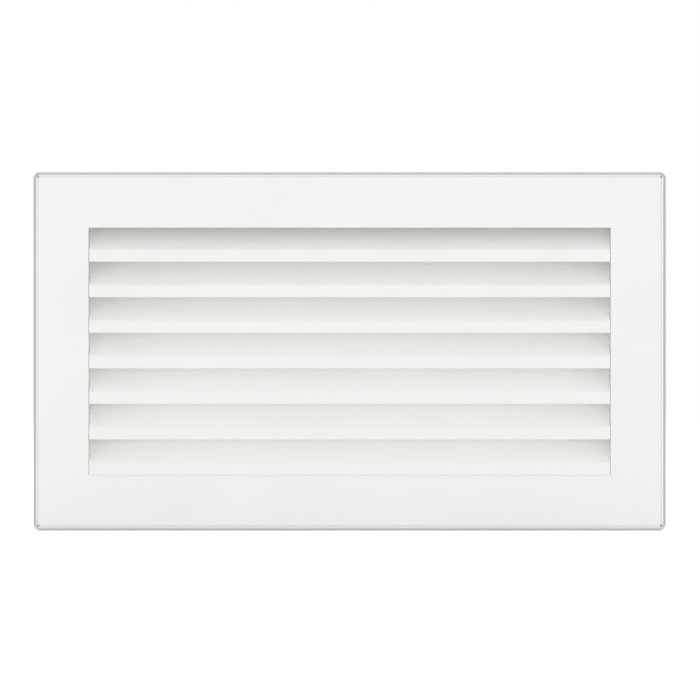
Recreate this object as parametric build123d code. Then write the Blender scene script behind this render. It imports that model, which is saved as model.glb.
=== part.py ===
from build123d import *
import math
import os

# Louvred wall grille of folded steel sheet, in millimetres.
# X runs to the right, Y into the wall and Z up. The wall is the plane Y = 0, and the
# origin is the centre of the face seen from the front.

# Face frame: one sheet with a cut opening and four edges folded back to the wall; the corner
# seams are closed and dressed round, and a small pit is left where two folds meet
FACE_WIDTH = 300.0
FACE_HEIGHT = 170.0
FACE_STAND_OFF = 8.0
FACE_SHEET = 1.0
FACE_BEND = 1.3
SIDE_BORDER = 26.2
HEAD_BORDER = 26.4
CORNER_INNER_ROUND = 2.0
CORNER_PIT_RADIUS = 0.6
CORNER_PIT_DEPTH = 0.5
OPENING_EDGE_ROUND = 0.1

# Slats: a vertical lip in the opening and a web that rises to the back
SLAT_PITCH = 16.8
SLAT_SHEET = 0.8
SLAT_BEND = 0.6
SLAT_ANGLE = 45.0
LIP_HEIGHT = 5.7
LIP_SETBACK = 0.2
FIRST_LIP_DROP = 16.1
SLAT_OVERLAP = 3.0
SLAT_END_GAP = 0.4

# Tabs at the ends of each web, and their slots in the cheeks
TAB_WIDTH = 6.0
TAB_FROM_FOLD = 9.0
TAB_PROUD = 0.8
SLOT_FIT = 0.1

# Collar behind the face: two rails and two cheeks with front flanges
COLLAR_SHEET = 0.8
COLLAR_BEND = 0.5
COLLAR_DEPTH = 36.0
FLANGE_WIDTH = 12.0
RAIL_CLEARANCE = 1.2
RAIL_END_GAP = 0.6
CHEEK_FLANGE_GAP = 2.0
EAR_LENGTH = 13.0
EAR_SETBACK = 10.0
EAR_FIT = 0.1

# Spot welds of the flanges and the ears
WELD_RADIUS = 2.0
WELD_DENT = 0.12
WELD_PITCH = 65.0

# Leaf springs on the cheeks, and the blind rivet that fixes each
SPRING_SHEET = 0.5
SPRING_WIDTH = 16.0
SPRING_RISE = 5.0
SPRING_FOOT = 8.0
SPRING_CLEARANCE = 1.3
SPRING_TOE = 1.4
SPRING_TOE_GAP = 0.3
SPRING_INSET = 2.0
SPRING_SPACING = 68.0
SPRING_BEND = 2.0
RIVET_RADIUS = 1.2
RIVET_FIT = 0.05
RIVET_HEAD_RADIUS = 2.4
RIVET_HEAD_HEIGHT = 0.9
RIVET_CROWN_RADIUS = 1.4
RIVET_PIT_RADIUS = 0.7
RIVET_PIT_DEPTH = 0.5
RIVET_TAIL_RADIUS = 1.8
RIVET_TAIL_LENGTH = 1.6
RIVET_TAIL_TAPER = 0.5

# Places that follow from the sizes above
FACE_FRONT = -FACE_STAND_OFF
FACE_BACK = FACE_FRONT + FACE_SHEET
FACE_OUTER_BEND = FACE_BEND + FACE_SHEET
OPENING_WIDTH = FACE_WIDTH - 2 * SIDE_BORDER
OPENING_HEIGHT = FACE_HEIGHT - 2 * HEAD_BORDER

# Slats fill the opening from the first lip down to the last, which rests on the opening's lower edge:
# whole steps, as near to the pitch as they come
LIP_SPAN = OPENING_HEIGHT - FIRST_LIP_DROP
SLAT_COUNT = round(LIP_SPAN / SLAT_PITCH) + 1
SLAT_STEP = LIP_SPAN / (SLAT_COUNT - 1)
SLAT_LENGTH = OPENING_WIDTH - 2 * SLAT_END_GAP
SLAT_SLOPE = math.radians(SLAT_ANGLE)
WEB_RISE = SLAT_STEP - LIP_HEIGHT + SLAT_OVERLAP
WEB_DEPTH = WEB_RISE / math.tan(SLAT_SLOPE)
LIP_FRONT = FACE_FRONT + LIP_SETBACK
TAB_REACH = SLAT_END_GAP + COLLAR_SHEET + TAB_PROUD
TAB_END = TAB_FROM_FOLD + TAB_WIDTH / 2
TAB_REAR = LIP_FRONT + TAB_END * math.cos(SLAT_SLOPE) + SLAT_SHEET * math.sin(SLAT_SLOPE)

# The collar stands round the slats: cheeks at the opening's sides, rails clear of the top web
CHEEK_INNER = OPENING_WIDTH / 2
CHEEK_OUTER = CHEEK_INNER + COLLAR_SHEET
TOP_WEB_EDGE = OPENING_HEIGHT / 2 - FIRST_LIP_DROP + LIP_HEIGHT + WEB_RISE
RAIL_INNER = TOP_WEB_EDGE + RAIL_CLEARANCE
EAR_INNER = RAIL_INNER + COLLAR_SHEET + EAR_FIT
EAR_OUTER = EAR_INNER + COLLAR_SHEET
COLLAR_OUTER_BEND = COLLAR_BEND + COLLAR_SHEET
COLLAR_REAR = FACE_BACK + COLLAR_DEPTH
EAR_FRONT = FACE_BACK + EAR_SETBACK
FLANGE_BACK = FACE_BACK + COLLAR_SHEET
TO_THE_BACK = Rot(-90, 0, 0)

# Springs lie between the slat tabs and the rear edge of the collar
SPRING_REAR = COLLAR_REAR - SPRING_INSET
SPRING_FOOT_FRONT = SPRING_REAR - SPRING_FOOT
SPRING_FRONT = TAB_REAR + SPRING_CLEARANCE
SPRING_TOE_Y = SPRING_FRONT + SPRING_TOE
SPRING_CREST_Y = (SPRING_FOOT_FRONT + SPRING_TOE_Y) / 2
RIVET_Y = SPRING_REAR - SPRING_FOOT / 2


def lip_bottom(number):
    """Height of the lower edge of a slat's lip; slat 1 is the top one."""
    return OPENING_HEIGHT / 2 - FIRST_LIP_DROP - (number - 1) * SLAT_STEP


def bent_sheet(points, radius, sheet, side, plane, start, end):
    """Sheet bent along a line of points on one of its faces, and extruded from start to end along the plane's Z."""
    line = FilletPolyline(*points, radius=radius)
    section = make_face(offset(line, amount=sheet, side=side).edges())
    return extrude(plane.offset(start) * section, amount=end - start)


def rounded_tray(width, depth, height, corner, bend):
    """Block that ends at the wall plane, with round corners and bent front edges."""
    block = Box(width, depth, height, align=(Align.CENTER, Align.MAX, Align.CENTER))
    block = fillet(block.edges().filter_by(Axis.Y), corner)
    return fillet(block.faces().sort_by(Axis.Y)[0].edges(), bend)


def front_frame():
    """Face sheet with its opening, its four folded returns and its corner pits."""
    shell = rounded_tray(
        FACE_WIDTH, FACE_STAND_OFF, FACE_HEIGHT, CORNER_INNER_ROUND + FACE_SHEET, FACE_OUTER_BEND
    )
    hollow = rounded_tray(
        FACE_WIDTH - 2 * FACE_SHEET,
        FACE_STAND_OFF - FACE_SHEET,
        FACE_HEIGHT - 2 * FACE_SHEET,
        CORNER_INNER_ROUND,
        FACE_BEND,
    )
    opening = Pos(0, FACE_FRONT, 0) * Box(OPENING_WIDTH, 3 * FACE_SHEET, OPENING_HEIGHT)
    frame = shell - hollow - opening

    inside = frame.faces().sort_by(Axis.Y)[0].inner_wires()[0]
    frame = fillet(inside.edges(), OPENING_EDGE_ROUND)

    pit = Rot(90, 0, 0) * Cylinder(CORNER_PIT_RADIUS, 2 * CORNER_PIT_DEPTH)
    fold_x = FACE_WIDTH / 2 - FACE_OUTER_BEND
    fold_z = FACE_HEIGHT / 2 - FACE_OUTER_BEND
    for side_x in (-1, 1):
        for side_z in (-1, 1):
            frame -= Pos(side_x * fold_x, FACE_FRONT, side_z * fold_z) * pit
    return frame


def web_plane(number):
    """Plane on the upper face of a slat's web at its fold: X along the slat, Y up the web, Z out of it."""
    return Plane(
        origin=(0, LIP_FRONT, lip_bottom(number) + LIP_HEIGHT),
        x_dir=(1, 0, 0),
        z_dir=(0, -math.sin(SLAT_SLOPE), math.cos(SLAT_SLOPE)),
    )


def tab_bar(number, length, fit):
    """Bar through both end tabs of a slat, grown by a fit on each side."""
    bar = Box(length, TAB_WIDTH + 2 * fit, SLAT_SHEET + 2 * fit)
    return web_plane(number) * Pos(0, TAB_FROM_FOLD, -SLAT_SHEET / 2) * bar


def slat(number):
    """Folded slat with a tab at each end of its web."""
    bottom = lip_bottom(number)
    fold = bottom + LIP_HEIGHT
    points = [(LIP_FRONT, bottom), (LIP_FRONT, fold), (LIP_FRONT + WEB_DEPTH, fold + WEB_RISE)]
    strip = bent_sheet(
        points,
        SLAT_BEND + SLAT_SHEET,
        SLAT_SHEET,
        Side.RIGHT,
        Plane.YZ,
        -SLAT_LENGTH / 2,
        SLAT_LENGTH / 2,
    )
    return strip + tab_bar(number, SLAT_LENGTH + 2 * TAB_REACH, 0)


def weld_dent():
    """Shallow round dent that a spot weld leaves, cut into the plane Z = 0 from above."""
    floor_radius = WELD_RADIUS - WELD_DENT
    rim_radius = WELD_RADIUS + WELD_DENT
    return Cone(floor_radius, rim_radius, 2 * WELD_DENT)


def weld_row(length):
    """Evenly spaced weld places along a piece, no further apart than the weld pitch."""
    count = max(2, math.ceil(length / WELD_PITCH))
    step = length / count
    return [-length / 2 + step * (index + 0.5) for index in range(count)]


def top_rail():
    """Angle above the slats: a flange behind the face and a wall that runs back."""
    half_length = OPENING_WIDTH / 2 - RAIL_END_GAP
    points = [
        (FACE_BACK, RAIL_INNER + FLANGE_WIDTH),
        (FACE_BACK, RAIL_INNER),
        (COLLAR_REAR, RAIL_INNER),
    ]
    angle = bent_sheet(
        points, COLLAR_OUTER_BEND, COLLAR_SHEET, Side.LEFT, Plane.YZ, -half_length, half_length
    )
    weld_z = RAIL_INNER + (COLLAR_OUTER_BEND + FLANGE_WIDTH) / 2
    for x in weld_row(2 * half_length):
        angle -= Pos(x, FLANGE_BACK, weld_z) * TO_THE_BACK * weld_dent()
    return angle


def right_cheek():
    """Side plate with a front flange, ears folded over the rails, slots for the slats and rivet holes."""
    flange_half = RAIL_INNER - CHEEK_FLANGE_GAP
    flange_line = [
        (CHEEK_INNER + FLANGE_WIDTH, FACE_BACK),
        (CHEEK_INNER, FACE_BACK),
        (CHEEK_INNER, COLLAR_REAR),
    ]
    plate = bent_sheet(
        flange_line, COLLAR_OUTER_BEND, COLLAR_SHEET, Side.RIGHT, Plane.XY, -flange_half, flange_half
    )
    ear_tip = CHEEK_OUTER - EAR_LENGTH
    ear_line = [
        (ear_tip, -EAR_OUTER),
        (CHEEK_OUTER, -EAR_OUTER),
        (CHEEK_OUTER, EAR_OUTER),
        (ear_tip, EAR_OUTER),
    ]
    plate += bent_sheet(
        ear_line, COLLAR_OUTER_BEND, COLLAR_SHEET, Side.LEFT, Plane.XZ, -COLLAR_REAR, -EAR_FRONT
    )

    for number in range(1, SLAT_COUNT + 1):
        plate -= tab_bar(number, 2 * FACE_WIDTH, SLOT_FIT)
    for z in spring_heights():
        plate -= Pos(CHEEK_OUTER, RIVET_Y, z) * rivet_hole()

    flange_weld_x = CHEEK_INNER + (COLLAR_OUTER_BEND + FLANGE_WIDTH) / 2
    for z in weld_row(2 * flange_half):
        plate -= Pos(flange_weld_x, FLANGE_BACK, z) * TO_THE_BACK * weld_dent()
    ear_weld_x = CHEEK_OUTER - EAR_LENGTH / 2
    ear_weld_y = (EAR_FRONT + COLLAR_REAR) / 2
    plate -= Pos(ear_weld_x, ear_weld_y, EAR_OUTER) * weld_dent()
    plate -= Pos(ear_weld_x, ear_weld_y, -EAR_OUTER) * Rot(180, 0, 0) * weld_dent()
    return plate


def spring_heights():
    """Heights of the lower and the upper spring on each cheek."""
    return [-SPRING_SPACING / 2, SPRING_SPACING / 2]


def rivet_hole():
    """Clearance hole for a rivet along X, through a cheek and the foot of a spring."""
    return Rot(0, 90, 0) * Cylinder(RIVET_RADIUS + RIVET_FIT, 4 * (COLLAR_SHEET + SPRING_SHEET))


def right_spring_clip(height):
    """Leaf spring riveted near the back of a cheek, bowed outwards, with a toe that slides on the cheek."""
    line = [
        (CHEEK_OUTER, SPRING_REAR),
        (CHEEK_OUTER, SPRING_FOOT_FRONT),
        (CHEEK_OUTER + SPRING_RISE, SPRING_CREST_Y),
        (CHEEK_OUTER + SPRING_TOE_GAP, SPRING_TOE_Y),
        (CHEEK_OUTER + SPRING_TOE_GAP + SPRING_TOE / 2, SPRING_FRONT),
    ]
    bends = [SPRING_BEND, 2 * SPRING_BEND, SPRING_BEND / 2]
    bottom = height - SPRING_WIDTH / 2
    clip = bent_sheet(line, bends, SPRING_SHEET, Side.LEFT, Plane.XY, bottom, bottom + SPRING_WIDTH)
    return clip - Pos(CHEEK_OUTER, RIVET_Y, height) * rivet_hole()


def right_rivet(height):
    """Blind rivet with its tail inside the cheek, and its head on the spring with the mandrel's pit."""
    grip = COLLAR_SHEET + SPRING_SHEET
    head_top = grip + RIVET_HEAD_HEIGHT
    pit_floor = head_top - RIVET_PIT_DEPTH
    outline = Polyline(
        (pit_floor, 0),
        (-RIVET_TAIL_LENGTH, 0),
        (-RIVET_TAIL_LENGTH, RIVET_TAIL_RADIUS - RIVET_TAIL_TAPER),
        (0, RIVET_TAIL_RADIUS),
        (0, RIVET_RADIUS),
        (grip, RIVET_RADIUS),
        (grip, RIVET_HEAD_RADIUS),
        (head_top, RIVET_CROWN_RADIUS),
        (head_top, RIVET_PIT_RADIUS),
        (pit_floor, RIVET_PIT_RADIUS),
        close=True,
    )
    body = revolve(make_face(outline.edges()), Axis.X)
    return Pos(CHEEK_INNER, RIVET_Y, height) * body


def clip_rivets():
    """The rivets of the four springs, as separate solids."""
    rivets = []
    for z in spring_heights():
        rivets.append(right_rivet(z))
        rivets.append(mirror(right_rivet(z), about=Plane.YZ))
    return Compound(children=rivets)


def all_pieces():
    """Every piece of the grille by its name; left and bottom pieces mirror the right and top ones."""
    pieces = {
        "front_frame": front_frame(),
        "top_rail": top_rail(),
        "bottom_rail": mirror(top_rail(), about=Plane.XY),
        "right_cheek": right_cheek(),
        "left_cheek": mirror(right_cheek(), about=Plane.YZ),
        "clip_rivets": clip_rivets(),
    }
    for number in range(1, SLAT_COUNT + 1):
        pieces[f"slat_{number}"] = slat(number)
    for level, height in zip(("lower", "upper"), spring_heights()):
        clip = right_spring_clip(height)
        pieces[f"spring_clip_right_{level}"] = clip
        pieces[f"spring_clip_left_{level}"] = mirror(clip, about=Plane.YZ)
    return pieces


os.makedirs("parts", exist_ok=True)
for name, piece in all_pieces().items():
    export_step(piece, os.path.join("parts", name + ".step"))
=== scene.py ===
import math

import bpy
from bpy.props import FloatProperty, FloatVectorProperty, PointerProperty
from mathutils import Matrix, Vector


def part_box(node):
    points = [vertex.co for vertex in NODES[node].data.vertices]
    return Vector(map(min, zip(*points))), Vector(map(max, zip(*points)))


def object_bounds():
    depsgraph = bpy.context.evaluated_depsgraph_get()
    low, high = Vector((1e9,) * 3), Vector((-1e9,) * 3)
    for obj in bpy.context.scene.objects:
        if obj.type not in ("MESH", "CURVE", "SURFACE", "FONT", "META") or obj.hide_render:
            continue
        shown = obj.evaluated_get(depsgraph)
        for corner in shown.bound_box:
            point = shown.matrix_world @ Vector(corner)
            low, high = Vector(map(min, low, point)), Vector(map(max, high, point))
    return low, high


bl_info = {
    "name": "Louvred Wall Grille",
    "version": (1, 0, 0),
    "blender": (4, 5, 0),
    "location": "View3D > Sidebar > Grille",
    "description": "Finishes, stage and camera for a white louvred wall grille of folded sheet steel",
    "category": "Object",
}

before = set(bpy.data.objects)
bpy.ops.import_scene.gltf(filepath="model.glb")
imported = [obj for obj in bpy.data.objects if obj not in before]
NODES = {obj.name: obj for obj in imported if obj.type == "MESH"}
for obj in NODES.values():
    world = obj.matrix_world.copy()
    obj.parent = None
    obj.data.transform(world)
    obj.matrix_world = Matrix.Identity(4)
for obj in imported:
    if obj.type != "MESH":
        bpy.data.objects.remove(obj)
CAD_LOW, CAD_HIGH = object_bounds()

MM = 0.001
FACE_NODES = ["front_frame"]
SLAT_NODES = sorted(name for name in NODES if name.startswith("slat_"))
RAIL_NODES = ["top_rail", "bottom_rail"]
CHEEK_NODES = ["left_cheek", "right_cheek"]
SPRING_NODES = sorted(name for name in NODES if name.startswith("spring_clip_"))
RIVET_NODES = ["clip_rivets"]

# Sockets that every surface effect puts out
SURFACE_OUTPUTS = (
    ("Colour", "NodeSocketColor"),
    ("Roughness", "NodeSocketFloat"),
    ("Height", "NodeSocketFloat"),
)

# Places of the colour sockets on a Mix node
MIX_SHARE = 0
MIX_FIRST = 6
MIX_SECOND = 7
MIX_RESULT = 2

# Bands of a noise's middle values that make a full change of tone or of shine
TONE_BAND = (0.35, 0.65)
SHINE_BAND = (0.3, 0.7)

# Powder coat
COAT_SPECULAR = 0.3
CLOUD_DETAIL = 3.0
PEEL_DETAIL = 1.0
CLOUD_SHINE = 0.06
PEEL_DULL = 0.06

# Painted shade on the face, along the outer fold, in the corner pits and at the sill joint: fades as
# shares of a mark's size, and strengths from 0 to 1
LINE_FADE = (0.75, 1.25)
START_LINE_FADE = (0.12 * MM, 0.32 * MM)
START_SHADE_STRENGTH = 0.5
# Painted fold shade is weaker on faces that look down
UNDERSIDE_BAND = (-0.6, -0.1)
UNDERSIDE_SHADE_STRENGTH = 0.4
FRONT_FADE = 1.5
MARK_FADE = 1.3
PIT_SHADE_STRENGTH = 0.8
JOINT_SHADE_STRENGTH = 0.25

# Bare metal
METAL_SPECULAR = 0.5
STREAK_DETAIL = 3.0
STREAK_STRETCH = 0.04
STREAK_DULL = (-0.06, 0.08)
MANDREL_FADE = 0.9
RING_DULL = (-0.04, 0.06)

# Stage, in metres; the camera's sensor in millimetres
FLOOR_SIZE = 6.0
LOW_LAMP_PLACE = (0.0, -1.6, 0.16)
LOW_LAMP_SIZE = (0.9, 0.48)
BACK_LAMP_PLACE = (0.0, 1.0, 1.6)
BACK_LAMP_SIZE = (1.0, 1.0)
SENSOR_WIDTH = 36.0


class GrilleFinish(bpy.types.PropertyGroup):
    """Colours and surface sizes of the grille's finishes."""

    coat_colour: FloatVectorProperty(
        name="Coat colour",
        description="White of the powder coat",
        subtype="COLOR",
        min=0.0,
        max=1.0,
        default=(0.902, 0.910, 0.886),
    )
    coat_shade: FloatVectorProperty(
        name="Coat shade",
        description="White of the powder coat where it lies a little thinner",
        subtype="COLOR",
        min=0.0,
        max=1.0,
        default=(0.886, 0.894, 0.869),
    )
    coat_roughness: FloatProperty(
        name="Coat roughness",
        description="Middle roughness of the satin powder coat",
        subtype="FACTOR",
        min=0.0,
        max=1.0,
        default=0.5,
    )
    collar_roughness: FloatProperty(
        name="Collar roughness",
        description="Middle roughness of the drier coat on the hidden collar",
        subtype="FACTOR",
        min=0.0,
        max=1.0,
        default=0.6,
    )
    # Painted shade: grey on the cheeks' inner sides that darkens the slat ends beside them
    painted_inner_shade: FloatVectorProperty(
        name="Painted inner shade",
        description="Painted shade on the cheeks' inner sides, which darkens the slat ends beside them",
        subtype="COLOR",
        min=0.0,
        max=1.0,
        default=(0.70, 0.705, 0.69),
    )
    cloud_size: FloatProperty(
        name="Cloud size",
        description="Width of the soft clouds in the coat's tone",
        unit="LENGTH",
        min=0.005,
        max=0.5,
        default=45.0 * MM,
    )
    peel_size: FloatProperty(
        name="Orange peel size",
        description="Width of one wave in the powder coat",
        unit="LENGTH",
        min=0.0002,
        max=0.01,
        default=1.8 * MM,
    )
    peel_height: FloatProperty(
        name="Orange peel height",
        description="Height of the waves in the powder coat",
        unit="LENGTH",
        min=0.0,
        max=0.001,
        default=0.006 * MM,
    )
    # Painted shade: grey laid along the outer fold, in the corner pits and in the sill joint
    painted_shade_colour: FloatVectorProperty(
        name="Painted shade colour",
        description="Grey of the painted shade along the folded outer edge, in the corner pits and in the sill joint",
        subtype="COLOR",
        min=0.0,
        max=1.0,
        default=(0.50, 0.50, 0.50),
    )
    # Width of the painted shade line along the outer fold
    fold_shade_width: FloatProperty(
        name="Fold shade width",
        description="Width of the grey line along the folded outer edge",
        unit="LENGTH",
        min=0.0,
        max=0.02,
        default=1.35 * MM,
    )
    # The faint line where the fold begins is painted shade
    fold_start: FloatProperty(
        name="Fold start",
        description="Distance from the outer edge at which the fold begins, marked by a faint line",
        unit="LENGTH",
        min=0.0,
        max=0.02,
        default=2.3 * MM,
    )
    # Painted shade in the corner pits
    pit_shade_radius: FloatProperty(
        name="Corner pit shade",
        description="Radius of the grey mark in the pit at each corner, where two folds meet",
        unit="LENGTH",
        min=0.0,
        max=0.01,
        default=0.6 * MM,
    )
    opening_width: FloatProperty(
        name="Opening width",
        description="Width of the opening in the front frame",
        unit="LENGTH",
        min=0.0,
        max=2.0,
        default=247.6 * MM,
    )
    # Painted shade in the joint under the lowest lip
    joint_shade_width: FloatProperty(
        name="Joint shade width",
        description="Width of the faint line where the lowest lip rests on the front frame",
        unit="LENGTH",
        min=0.0,
        max=0.01,
        default=0.45 * MM,
    )
    corner_round: FloatProperty(
        name="Corner round",
        description="Radius of the front frame's corners, seen from the front",
        unit="LENGTH",
        min=0.0,
        max=0.05,
        default=3.0 * MM,
    )
    steel_colour: FloatVectorProperty(
        name="Spring steel colour",
        description="Colour of the bare rolled spring steel",
        subtype="COLOR",
        min=0.0,
        max=1.0,
        default=(0.50, 0.50, 0.52),
    )
    steel_streak: FloatVectorProperty(
        name="Spring steel streak",
        description="Colour of the darker rolling lines",
        subtype="COLOR",
        min=0.0,
        max=1.0,
        default=(0.36, 0.37, 0.39),
    )
    steel_roughness: FloatProperty(
        name="Spring steel roughness",
        description="Middle roughness of the rolled spring steel",
        subtype="FACTOR",
        min=0.0,
        max=1.0,
        default=0.34,
    )
    streak_size: FloatProperty(
        name="Rolling line width",
        description="Width of one rolling line in the spring steel",
        unit="LENGTH",
        min=0.0001,
        max=0.01,
        default=0.5 * MM,
    )
    streak_height: FloatProperty(
        name="Rolling line height",
        description="Height of the rolling lines in the spring steel",
        unit="LENGTH",
        min=0.0,
        max=0.001,
        default=0.004 * MM,
    )
    rivet_colour: FloatVectorProperty(
        name="Rivet colour",
        description="Colour of the bare aluminium rivets",
        subtype="COLOR",
        min=0.0,
        max=1.0,
        default=(0.74, 0.74, 0.75),
    )
    rivet_shade: FloatVectorProperty(
        name="Rivet shade",
        description="Colour of the aluminium in the fine turning lines",
        subtype="COLOR",
        min=0.0,
        max=1.0,
        default=(0.60, 0.60, 0.62),
    )
    rivet_roughness: FloatProperty(
        name="Rivet roughness",
        description="Middle roughness of the turned aluminium",
        subtype="FACTOR",
        min=0.0,
        max=1.0,
        default=0.3,
    )
    mandrel_colour: FloatVectorProperty(
        name="Mandrel colour",
        description="Colour of the broken steel mandrel in the rivet's middle",
        subtype="COLOR",
        min=0.0,
        max=1.0,
        default=(0.22, 0.22, 0.23),
    )
    mandrel_radius: FloatProperty(
        name="Mandrel radius",
        description="Radius of the broken mandrel in the rivet's middle",
        unit="LENGTH",
        min=0.0,
        max=0.01,
        default=0.7 * MM,
    )
    turning_pitch: FloatProperty(
        name="Turning line pitch",
        description="Distance between the fine turning lines on a rivet's head",
        unit="LENGTH",
        min=0.00005,
        max=0.005,
        default=0.28 * MM,
    )
    turning_height: FloatProperty(
        name="Turning line height",
        description="Height of the fine turning lines on a rivet's head",
        unit="LENGTH",
        min=0.0,
        max=0.001,
        default=0.003 * MM,
    )


class GrilleStage(bpy.types.PropertyGroup):
    """Floor, light and camera around the grille."""

    floor_colour: FloatVectorProperty(
        name="Floor colour",
        description="Pale colour of the floor",
        subtype="COLOR",
        min=0.0,
        max=1.0,
        default=(0.9, 0.9, 0.9),
    )
    floor_lift: FloatProperty(
        name="Floor lift",
        description="Light added to the floor where it is seen, so that it reads as white",
        min=0.0,
        max=1.0,
        default=0.45,
    )
    ambient: FloatProperty(
        name="Ambient light",
        description="Even light from all round",
        min=0.0,
        max=2.0,
        default=0.845,
    )
    low_power: FloatProperty(
        name="Low lamp",
        description="Soft lamp in front near the floor",
        unit="POWER",
        min=0.0,
        default=3.3,
    )
    back_power: FloatProperty(
        name="Back lamp",
        description="Soft lamp behind and above",
        unit="POWER",
        min=0.0,
        default=9.3,
    )
    camera_distance: FloatProperty(
        name="Camera distance",
        description="From the lens to the face",
        unit="LENGTH",
        min=0.2,
        default=2.0,
    )
    field_width: FloatProperty(
        name="Field width",
        description="Width of the picture at the face",
        unit="LENGTH",
        min=0.05,
        default=331.75 * MM,
    )
    camera_side: FloatProperty(
        name="Camera side step",
        description="Place of the lens to the right of the grille's middle",
        unit="LENGTH",
        default=0.17 * MM,
    )
    camera_raise: FloatProperty(
        name="Camera raise",
        description="Height of the lens above the grille's middle",
        unit="LENGTH",
        default=0.62 * MM,
    )


def node(tree, kind, **settings):
    """New node of one kind with its settings."""
    made = tree.nodes.new(kind)
    for name, value in settings.items():
        setattr(made, name, value)
    return made


def feed(tree, socket, value):
    """Links an output to a socket, or sets the socket to a plain value."""
    if isinstance(value, bpy.types.NodeSocket):
        tree.links.new(value, socket)
    else:
        socket.default_value = value


def calc(tree, operation, *values):
    """Math over outputs and plain numbers."""
    made = node(tree, "ShaderNodeMath", operation=operation)
    for socket, value in zip(made.inputs, values):
        feed(tree, socket, value)
    return made.outputs[0]


def times(tree, value, factor):
    """One value times another."""
    return calc(tree, "MULTIPLY", value, factor)


def minus(tree, value, other):
    """One value less another."""
    return calc(tree, "SUBTRACT", value, other)


def size_of(tree, value):
    """A value without its sign."""
    return calc(tree, "ABSOLUTE", value)


def hypotenuse(tree, across, up):
    """Length of a slanted line from its two legs."""
    return calc(tree, "SQRT", calc(tree, "ADD", times(tree, across, across), times(tree, up, up)))


def spread(tree, value, low, high, to_low, to_high):
    """Maps a value from one range to another."""
    made = node(tree, "ShaderNodeMapRange")
    for label, number in (
        ("Value", value),
        ("From Min", low),
        ("From Max", high),
        ("To Min", to_low),
        ("To Max", to_high),
    ):
        feed(tree, made.inputs[label], number)
    return made.outputs["Result"]


def blend(tree, share, first, second):
    """Mixes two colours by a share."""
    made = node(tree, "ShaderNodeMix", data_type="RGBA")
    feed(tree, made.inputs[MIX_SHARE], share)
    feed(tree, made.inputs[MIX_FIRST], first)
    feed(tree, made.inputs[MIX_SECOND], second)
    return made.outputs[MIX_RESULT]


def noise(tree, where, size, detail):
    """Noise whose features are about as wide as a size."""
    made = node(tree, "ShaderNodeTexNoise")
    feed(tree, made.inputs["Vector"], where)
    feed(tree, made.inputs["Scale"], calc(tree, "DIVIDE", 1.0, size))
    made.inputs["Detail"].default_value = detail
    return made.outputs["Fac"]


def object_place(tree):
    """Place on the piece, in its own coordinates."""
    return node(tree, "ShaderNodeTexCoord").outputs["Object"]


def axes(tree, vector):
    """The X, Y and Z of a vector, by name."""
    made = node(tree, "ShaderNodeSeparateXYZ")
    feed(tree, made.inputs[0], vector)
    return made.outputs


def surface_normal(tree):
    """The X, Y and Z of the surface's direction, by name."""
    return axes(tree, node(tree, "ShaderNodeNewGeometry").outputs["Normal"])


def new_group(name, inputs, outputs):
    """Empty node group with its sockets; gives the tree, its inputs and its outputs."""
    tree = bpy.data.node_groups.new(name, "ShaderNodeTree")
    for label, kind in inputs:
        tree.interface.new_socket(name=label, in_out="INPUT", socket_type=kind)
    for label, kind in outputs:
        tree.interface.new_socket(name=label, in_out="OUTPUT", socket_type=kind)
    return tree, node(tree, "NodeGroupInput").outputs, node(tree, "NodeGroupOutput").inputs


def powder_coat_group():
    """Powder coat: soft clouds of tone and shine, and the waves of orange peel."""
    if "Powder coat" in bpy.data.node_groups:
        return bpy.data.node_groups["Powder coat"]
    inputs = (
        ("Colour", "NodeSocketColor"),
        ("Shade", "NodeSocketColor"),
        ("Roughness", "NodeSocketFloat"),
        ("Cloud Size", "NodeSocketFloat"),
        ("Peel Size", "NodeSocketFloat"),
    )
    tree, given, result = new_group("Powder coat", inputs, SURFACE_OUTPUTS)
    where = object_place(tree)
    clouds = noise(tree, where, given["Cloud Size"], CLOUD_DETAIL)
    tone = spread(tree, clouds, *TONE_BAND, 0.0, 1.0)
    feed(tree, result["Colour"], blend(tree, tone, given["Colour"], given["Shade"]))
    peel = noise(tree, where, given["Peel Size"], PEEL_DETAIL)
    shine = spread(tree, clouds, *SHINE_BAND, -CLOUD_SHINE, 0.0)
    dull = calc(tree, "MULTIPLY_ADD", peel, PEEL_DULL, shine)
    feed(tree, result["Roughness"], calc(tree, "ADD", given["Roughness"], dull))
    feed(tree, result["Height"], peel)
    return tree


def past_line(tree, given, where, inset):
    """How far a place lies outside two lines, upright and level, that run inset from the outer edges."""
    sides = []
    for axis, half in (("X", "Half Width"), ("Z", "Half Height")):
        line = minus(tree, given[half], inset)
        sides.append(minus(tree, size_of(tree, where[axis]), line))
    return sides


def fold_shade_lines(tree, given, where):
    """Mask of painted shade along the round outer edge, and of a faint painted shade line where the fold
    begins; weaker on faces that look down.
    """
    across, up = past_line(tree, given, where, given["Corner"])
    in_corner = [calc(tree, "MAXIMUM", side, 0.0) for side in (across, up)]
    beside = calc(tree, "MINIMUM", calc(tree, "MAXIMUM", across, up), 0.0)
    past_round = calc(tree, "ADD", hypotenuse(tree, *in_corner), beside)
    inward = minus(tree, given["Corner"], past_round)
    fade_start, fade_end = (times(tree, given["Line Width"], share) for share in LINE_FADE)
    outer = spread(tree, inward, fade_start, fade_end, 1.0, 0.0)
    away = size_of(tree, minus(tree, inward, given["Fold Start"]))
    inner = spread(tree, away, *START_LINE_FADE, START_SHADE_STRENGTH, 0.0)
    lower = spread(tree, surface_normal(tree)["Z"], *UNDERSIDE_BAND, UNDERSIDE_SHADE_STRENGTH, 1.0)
    return times(tree, calc(tree, "MAXIMUM", outer, inner), lower)


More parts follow.
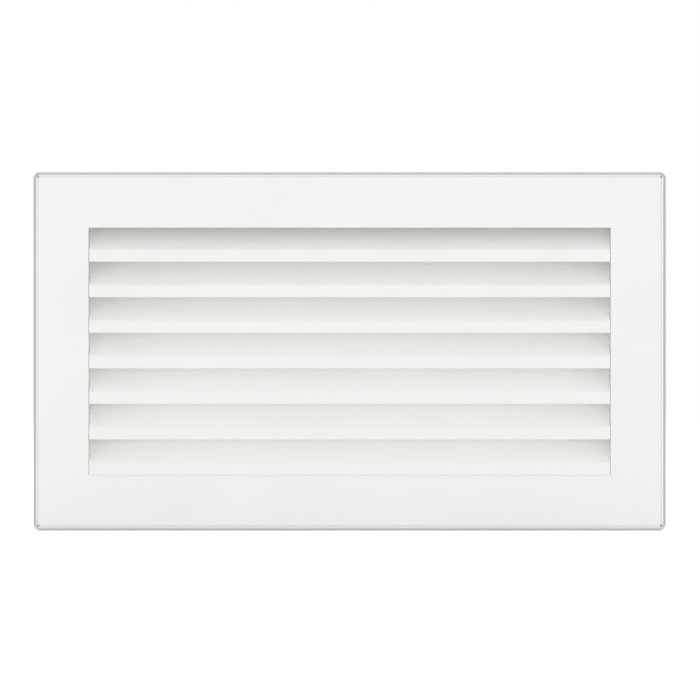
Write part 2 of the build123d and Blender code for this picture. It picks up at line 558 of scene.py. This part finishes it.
def corner_pit_shade(tree, given, where):
    """Mask of painted shade in the pits, where two folds meet."""
    offset = hypotenuse(tree, *past_line(tree, given, where, given["Fold Start"]))
    radius = given["Pit Radius"]
    return spread(tree, offset, radius, times(tree, radius, MARK_FADE), PIT_SHADE_STRENGTH, 0.0)


def sill_joint_shade(tree, given, where):
    """Mask of painted shade in the joint on the opening's lower edge, where the lowest lip rests."""
    width = given["Joint Width"]
    below = minus(tree, given["Sill"], where["Z"])
    line = spread(tree, below, width, times(tree, width, MARK_FADE), JOINT_SHADE_STRENGTH, 0.0)
    inside = calc(tree, "LESS_THAN", size_of(tree, where["X"]), given["Sill Half Width"])
    near = calc(tree, "GREATER_THAN", below, times(tree, width, -1.0))
    return times(tree, line, times(tree, inside, near))


def painted_face_shade_group():
    """Mask of the painted shade on the face: along the folds, in the corner pits and in the joint on the
    sill.
    """
    labels = (
        "Half Width",
        "Half Height",
        "Corner",
        "Front",
        "Line Width",
        "Fold Start",
        "Pit Radius",
        "Sill",
        "Sill Half Width",
        "Joint Width",
    )
    inputs = [(label, "NodeSocketFloat") for label in labels]
    tree, given, result = new_group("Painted face shade", inputs, (("Marks", "NodeSocketFloat"),))
    where = axes(tree, object_place(tree))
    marks = fold_shade_lines(tree, given, where)
    marks = calc(tree, "MAXIMUM", marks, corner_pit_shade(tree, given, where))
    marks = calc(tree, "MAXIMUM", marks, sill_joint_shade(tree, given, where))
    behind = minus(tree, where["Y"], given["Front"])
    fold = given["Fold Start"]
    front = spread(tree, behind, fold, times(tree, fold, FRONT_FADE), 1.0, 0.0)
    feed(tree, result["Marks"], times(tree, marks, front))
    return tree


def inner_side_group():
    """Mask of the faces that look in towards the grille's middle."""
    tree, _, result = new_group("Inner side", (), (("Inside", "NodeSocketFloat"),))
    place = calc(tree, "SIGN", axes(tree, object_place(tree))["X"])
    facing = calc(tree, "SIGN", surface_normal(tree)["X"])
    feed(tree, result["Inside"], calc(tree, "LESS_THAN", times(tree, place, facing), -0.5))
    return tree


def rolled_steel_group():
    """Rolled strip: lines of tone, shine and height that run level, along the bent strip."""
    inputs = (
        ("Colour", "NodeSocketColor"),
        ("Streak", "NodeSocketColor"),
        ("Roughness", "NodeSocketFloat"),
        ("Streak Size", "NodeSocketFloat"),
    )
    tree, given, result = new_group("Rolled steel", inputs, SURFACE_OUTPUTS)
    drawn = node(tree, "ShaderNodeVectorMath", operation="MULTIPLY")
    feed(tree, drawn.inputs[0], object_place(tree))
    drawn.inputs[1].default_value = (STREAK_STRETCH, STREAK_STRETCH, 1.0)
    lines = noise(tree, drawn.outputs[0], given["Streak Size"], STREAK_DETAIL)
    tone = spread(tree, lines, *TONE_BAND, 0.0, 1.0)
    feed(tree, result["Colour"], blend(tree, tone, given["Colour"], given["Streak"]))
    dull = spread(tree, lines, *SHINE_BAND, *STREAK_DULL)
    feed(tree, result["Roughness"], calc(tree, "ADD", given["Roughness"], dull))
    feed(tree, result["Height"], lines)
    return tree


def turned_rivet_group():
    """Rivet heads: fine rings round each rivet's axis along X, and a dark mandrel in the middle."""
    inputs = (
        ("Colour", "NodeSocketColor"),
        ("Shade", "NodeSocketColor"),
        ("Mandrel", "NodeSocketColor"),
        ("Axis Y", "NodeSocketFloat"),
        ("Axis Z", "NodeSocketFloat"),
        ("Mandrel Radius", "NodeSocketFloat"),
        ("Pitch", "NodeSocketFloat"),
        ("Roughness", "NodeSocketFloat"),
    )
    tree, given, result = new_group("Turned rivet", inputs, SURFACE_OUTPUTS)
    where = axes(tree, object_place(tree))
    across = minus(tree, where["Y"], given["Axis Y"])
    up = minus(tree, size_of(tree, where["Z"]), given["Axis Z"])
    radius = hypotenuse(tree, across, up)
    turns = calc(tree, "DIVIDE", times(tree, radius, math.tau), given["Pitch"])
    rings = spread(tree, calc(tree, "SINE", turns), -1.0, 1.0, 0.0, 1.0)
    metal = blend(tree, rings, given["Colour"], given["Shade"])
    edge = given["Mandrel Radius"]
    outside = spread(tree, radius, times(tree, edge, MANDREL_FADE), edge, 0.0, 1.0)
    feed(tree, result["Colour"], blend(tree, outside, given["Mandrel"], metal))
    dull = spread(tree, rings, 0.0, 1.0, *RING_DULL)
    feed(tree, result["Roughness"], calc(tree, "ADD", given["Roughness"], dull))
    feed(tree, result["Height"], rings)
    return tree


def place_group(tree, group, values):
    """Puts a group into a material with its own values, and gives its outputs."""
    effect = node(tree, "ShaderNodeGroup", node_tree=group)
    for label, value in values.items():
        effect.inputs[label].default_value = value
    return effect.outputs


def surface(name, group, values, bump, metallic, specular):
    """Material that takes colour, roughness and bump from a group set to the given values."""
    material = bpy.data.materials.new(name)
    material.use_nodes = True
    tree = material.node_tree
    tree.nodes.clear()
    output = node(tree, "ShaderNodeOutputMaterial")
    shader = node(tree, "ShaderNodeBsdfPrincipled")
    effect = place_group(tree, group, values)
    relief = node(tree, "ShaderNodeBump")
    relief.inputs["Distance"].default_value = bump
    shader.inputs["Metallic"].default_value = metallic
    shader.inputs["Specular IOR Level"].default_value = specular
    feed(tree, shader.inputs["Base Color"], effect["Colour"])
    feed(tree, shader.inputs["Roughness"], effect["Roughness"])
    feed(tree, relief.inputs["Height"], effect["Height"])
    feed(tree, shader.inputs["Normal"], relief.outputs["Normal"])
    feed(tree, output.inputs["Surface"], shader.outputs["BSDF"])
    return material


def coat(name, finish, roughness):
    """White powder coat of one roughness."""
    values = {
        "Colour": (*finish.coat_colour, 1.0),
        "Shade": (*finish.coat_shade, 1.0),
        "Roughness": roughness,
        "Cloud Size": finish.cloud_size,
        "Peel Size": finish.peel_size,
    }
    return surface(name, powder_coat_group(), values, finish.peel_height, 0.0, COAT_SPECULAR)


def overlay(tree, mask, colour):
    """Lays a colour over a material's own where a mask is 1."""
    shader = next(item for item in tree.nodes if item.type == "BSDF_PRINCIPLED")
    target = shader.inputs["Base Color"]
    plain = target.links[0].from_socket
    feed(tree, target, blend(tree, mask, plain, (*colour, 1.0)))


def draw_painted_face_shade(material, finish):
    """Lays the painted shade of the front frame over its coat."""
    low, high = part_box("front_frame")
    values = {
        "Half Width": high.x,
        "Half Height": high.z,
        "Corner": finish.corner_round,
        "Front": low.y,
        "Line Width": finish.fold_shade_width,
        "Fold Start": finish.fold_start,
        "Pit Radius": finish.pit_shade_radius,
        "Sill": min(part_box(name)[0].z for name in SLAT_NODES),
        "Sill Half Width": finish.opening_width / 2.0,
        "Joint Width": finish.joint_shade_width,
    }
    tree = material.node_tree
    marks = place_group(tree, painted_face_shade_group(), values)
    # Painted shade laid over the coat
    overlay(tree, marks["Marks"], finish.painted_shade_colour)


def paint_inner_shade(material, finish):
    """Lays painted shade over the cheeks' inner sides."""
    tree = material.node_tree
    sides = place_group(tree, inner_side_group(), {})
    # Painted shade on the faces that look in towards the middle
    overlay(tree, sides["Inside"], finish.painted_inner_shade)


def dress(names, material):
    """Gives every named piece one material in place of its plain one."""
    for name in names:
        piece = NODES[name]
        if not piece.material_slots:
            piece.data.materials.append(material)
        for slot in piece.material_slots:
            slot.material = material


class GRILLE_OT_coat_face(bpy.types.Operator):
    """Coats the folded front frame"""

    bl_idname = "grille.coat_face"
    bl_label = "Coat the front frame"

    def execute(self, context):
        finish = context.scene.grille_finish
        material = coat("Face coat", finish, finish.coat_roughness)
        # Painted shade along the folds, in the corner pits and at the sill joint
        draw_painted_face_shade(material, finish)
        dress(FACE_NODES, material)
        return {"FINISHED"}


class GRILLE_OT_coat_slats(bpy.types.Operator):
    """Coats the slats"""

    bl_idname = "grille.coat_slats"
    bl_label = "Coat the slats"

    def execute(self, context):
        finish = context.scene.grille_finish
        dress(SLAT_NODES, coat("Slat coat", finish, finish.coat_roughness))
        return {"FINISHED"}


class GRILLE_OT_coat_rails(bpy.types.Operator):
    """Coats the rails above and below the slats"""

    bl_idname = "grille.coat_rails"
    bl_label = "Coat the rails"

    def execute(self, context):
        finish = context.scene.grille_finish
        dress(RAIL_NODES, coat("Rail coat", finish, finish.collar_roughness))
        return {"FINISHED"}


class GRILLE_OT_coat_cheeks(bpy.types.Operator):
    """Coats the cheeks, with painted shade on their inner sides"""

    bl_idname = "grille.coat_cheeks"
    bl_label = "Coat the cheeks"

    def execute(self, context):
        finish = context.scene.grille_finish
        material = coat("Cheek coat", finish, finish.collar_roughness)
        # Painted shade on the cheeks' inner sides
        paint_inner_shade(material, finish)
        dress(CHEEK_NODES, material)
        return {"FINISHED"}


class GRILLE_OT_finish_springs(bpy.types.Operator):
    """Gives the spring clips bare rolled steel"""

    bl_idname = "grille.finish_springs"
    bl_label = "Finish the spring clips"

    def execute(self, context):
        finish = context.scene.grille_finish
        values = {
            "Colour": (*finish.steel_colour, 1.0),
            "Streak": (*finish.steel_streak, 1.0),
            "Roughness": finish.steel_roughness,
            "Streak Size": finish.streak_size,
        }
        group = rolled_steel_group()
        material = surface("Spring steel", group, values, finish.streak_height, 1.0, METAL_SPECULAR)
        dress(SPRING_NODES, material)
        return {"FINISHED"}


class GRILLE_OT_finish_rivets(bpy.types.Operator):
    """Gives the rivets turned aluminium with a steel mandrel in the middle"""

    bl_idname = "grille.finish_rivets"
    bl_label = "Finish the rivets"

    def execute(self, context):
        finish = context.scene.grille_finish
        low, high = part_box("clip_rivets")
        head_radius = (high.y - low.y) / 2.0
        values = {
            "Colour": (*finish.rivet_colour, 1.0),
            "Shade": (*finish.rivet_shade, 1.0),
            "Mandrel": (*finish.mandrel_colour, 1.0),
            "Axis Y": (low.y + high.y) / 2.0,
            "Axis Z": high.z - head_radius,
            "Mandrel Radius": finish.mandrel_radius,
            "Pitch": finish.turning_pitch,
            "Roughness": finish.rivet_roughness,
        }
        group = turned_rivet_group()
        material = surface("Rivet aluminium", group, values, finish.turning_height, 1.0, METAL_SPECULAR)
        dress(RIVET_NODES, material)
        return {"FINISHED"}


def seen_rays(tree):
    """1 for the rays that see the surroundings themselves: camera, glossy and transmission rays."""
    rays = node(tree, "ShaderNodeLightPath")
    direct = calc(tree, "MAXIMUM", rays.outputs["Is Camera Ray"], rays.outputs["Is Glossy Ray"])
    return calc(tree, "MAXIMUM", direct, rays.outputs["Is Transmission Ray"])


def add_floor(stage):
    """Pale floor under the grille's lower edge; it reads as white where no shadow lies."""
    bpy.ops.object.select_all(action="DESELECT")
    bpy.ops.mesh.primitive_plane_add(size=FLOOR_SIZE, location=(0, 0, CAD_LOW.z))
    floor = bpy.context.object
    floor.name = "floor"
    bpy.ops.object.transform_apply(location=True)
    material = bpy.data.materials.new("Pale floor")
    material.use_nodes = True
    tree = material.node_tree
    tree.nodes.clear()
    output = node(tree, "ShaderNodeOutputMaterial")
    matt = node(tree, "ShaderNodeBsdfDiffuse")
    matt.inputs["Color"].default_value = (*stage.floor_colour, 1.0)
    lift = node(tree, "ShaderNodeEmission")
    feed(tree, lift.inputs["Strength"], times(tree, seen_rays(tree), stage.floor_lift))
    both = node(tree, "ShaderNodeAddShader")
    feed(tree, both.inputs[0], matt.outputs[0])
    feed(tree, both.inputs[1], lift.outputs[0])
    feed(tree, output.inputs["Surface"], both.outputs[0])
    floor.data.materials.append(material)


def add_world(scene, stage):
    """Even light from all round; the background itself is white where it is seen."""
    world = bpy.data.worlds.new("Studio")
    scene.world = world
    world.use_nodes = True
    tree = world.node_tree
    tree.nodes.clear()
    output = node(tree, "ShaderNodeOutputWorld")
    background = node(tree, "ShaderNodeBackground")
    background.inputs["Color"].default_value = (1.0, 1.0, 1.0, 1.0)
    level = spread(tree, seen_rays(tree), 0.0, 1.0, stage.ambient, 1.0)
    feed(tree, background.inputs["Strength"], level)
    feed(tree, output.inputs["Surface"], background.outputs[0])


def add_lamp(name, place, size, power):
    """Soft lamp that faces the middle of the grille and is not seen itself."""
    bpy.ops.object.light_add(type="AREA", location=place)
    lamp = bpy.context.object
    lamp.name = name
    lamp.data.shape = "RECTANGLE"
    lamp.data.size, lamp.data.size_y = size
    lamp.data.energy = power
    lamp.rotation_euler = (-Vector(place)).to_track_quat("-Z", "Y").to_euler()
    lamp.visible_camera = False


def add_lamps(stage):
    """A lamp low in front, and one behind whose light comes through between the slats."""
    add_lamp("low lamp", LOW_LAMP_PLACE, LOW_LAMP_SIZE, stage.low_power)
    add_lamp("back lamp", BACK_LAMP_PLACE, BACK_LAMP_SIZE, stage.back_power)


def add_camera(scene, stage):
    """Camera straight in front of the face."""
    data = bpy.data.cameras.new("camera")
    camera = bpy.data.objects.new("camera", data)
    scene.collection.objects.link(camera)
    data.sensor_width = SENSOR_WIDTH
    data.lens = SENSOR_WIDTH * stage.camera_distance / stage.field_width
    camera.location = (stage.camera_side, CAD_LOW.y - stage.camera_distance, stage.camera_raise)
    camera.rotation_euler = (math.radians(90.0), 0.0, 0.0)
    scene.camera = camera


class GRILLE_OT_build_stage(bpy.types.Operator):
    """Builds the floor, the light and the camera"""

    bl_idname = "grille.build_stage"
    bl_label = "Build the stage"

    def execute(self, context):
        stage = context.scene.grille_stage
        add_floor(stage)
        add_world(context.scene, stage)
        add_lamps(stage)
        add_camera(context.scene, stage)
        context.scene.view_settings.view_transform = "Standard"
        return {"FINISHED"}


OPERATORS = (
    GRILLE_OT_coat_face,
    GRILLE_OT_coat_slats,
    GRILLE_OT_coat_rails,
    GRILLE_OT_coat_cheeks,
    GRILLE_OT_finish_springs,
    GRILLE_OT_finish_rivets,
    GRILLE_OT_build_stage,
)


class GRILLE_PT_sidebar(bpy.types.Panel):
    """Lists the grille's steps and settings"""

    bl_label = "Louvred Wall Grille"
    bl_space_type = "VIEW_3D"
    bl_region_type = "UI"
    bl_category = "Grille"

    def draw(self, context):
        layout = self.layout
        for entry in OPERATORS:
            layout.operator(entry.bl_idname)
        for settings in (context.scene.grille_finish, context.scene.grille_stage):
            box = layout.box()
            for name in settings.__annotations__:
                box.prop(settings, name)


CLASSES = (GrilleFinish, GrilleStage) + OPERATORS + (GRILLE_PT_sidebar,)


def register():
    for entry in CLASSES:
        bpy.utils.register_class(entry)
    bpy.types.Scene.grille_finish = PointerProperty(type=GrilleFinish)
    bpy.types.Scene.grille_stage = PointerProperty(type=GrilleStage)


def unregister():
    del bpy.types.Scene.grille_stage
    del bpy.types.Scene.grille_finish
    for entry in reversed(CLASSES):
        bpy.utils.unregister_class(entry)


def main():
    register()
    bpy.ops.grille.coat_face()
    bpy.ops.grille.coat_slats()
    bpy.ops.grille.coat_rails()
    bpy.ops.grille.coat_cheeks()
    bpy.ops.grille.finish_springs()
    bpy.ops.grille.finish_rivets()
    bpy.ops.grille.build_stage()


if __name__ == "__main__":
    main()
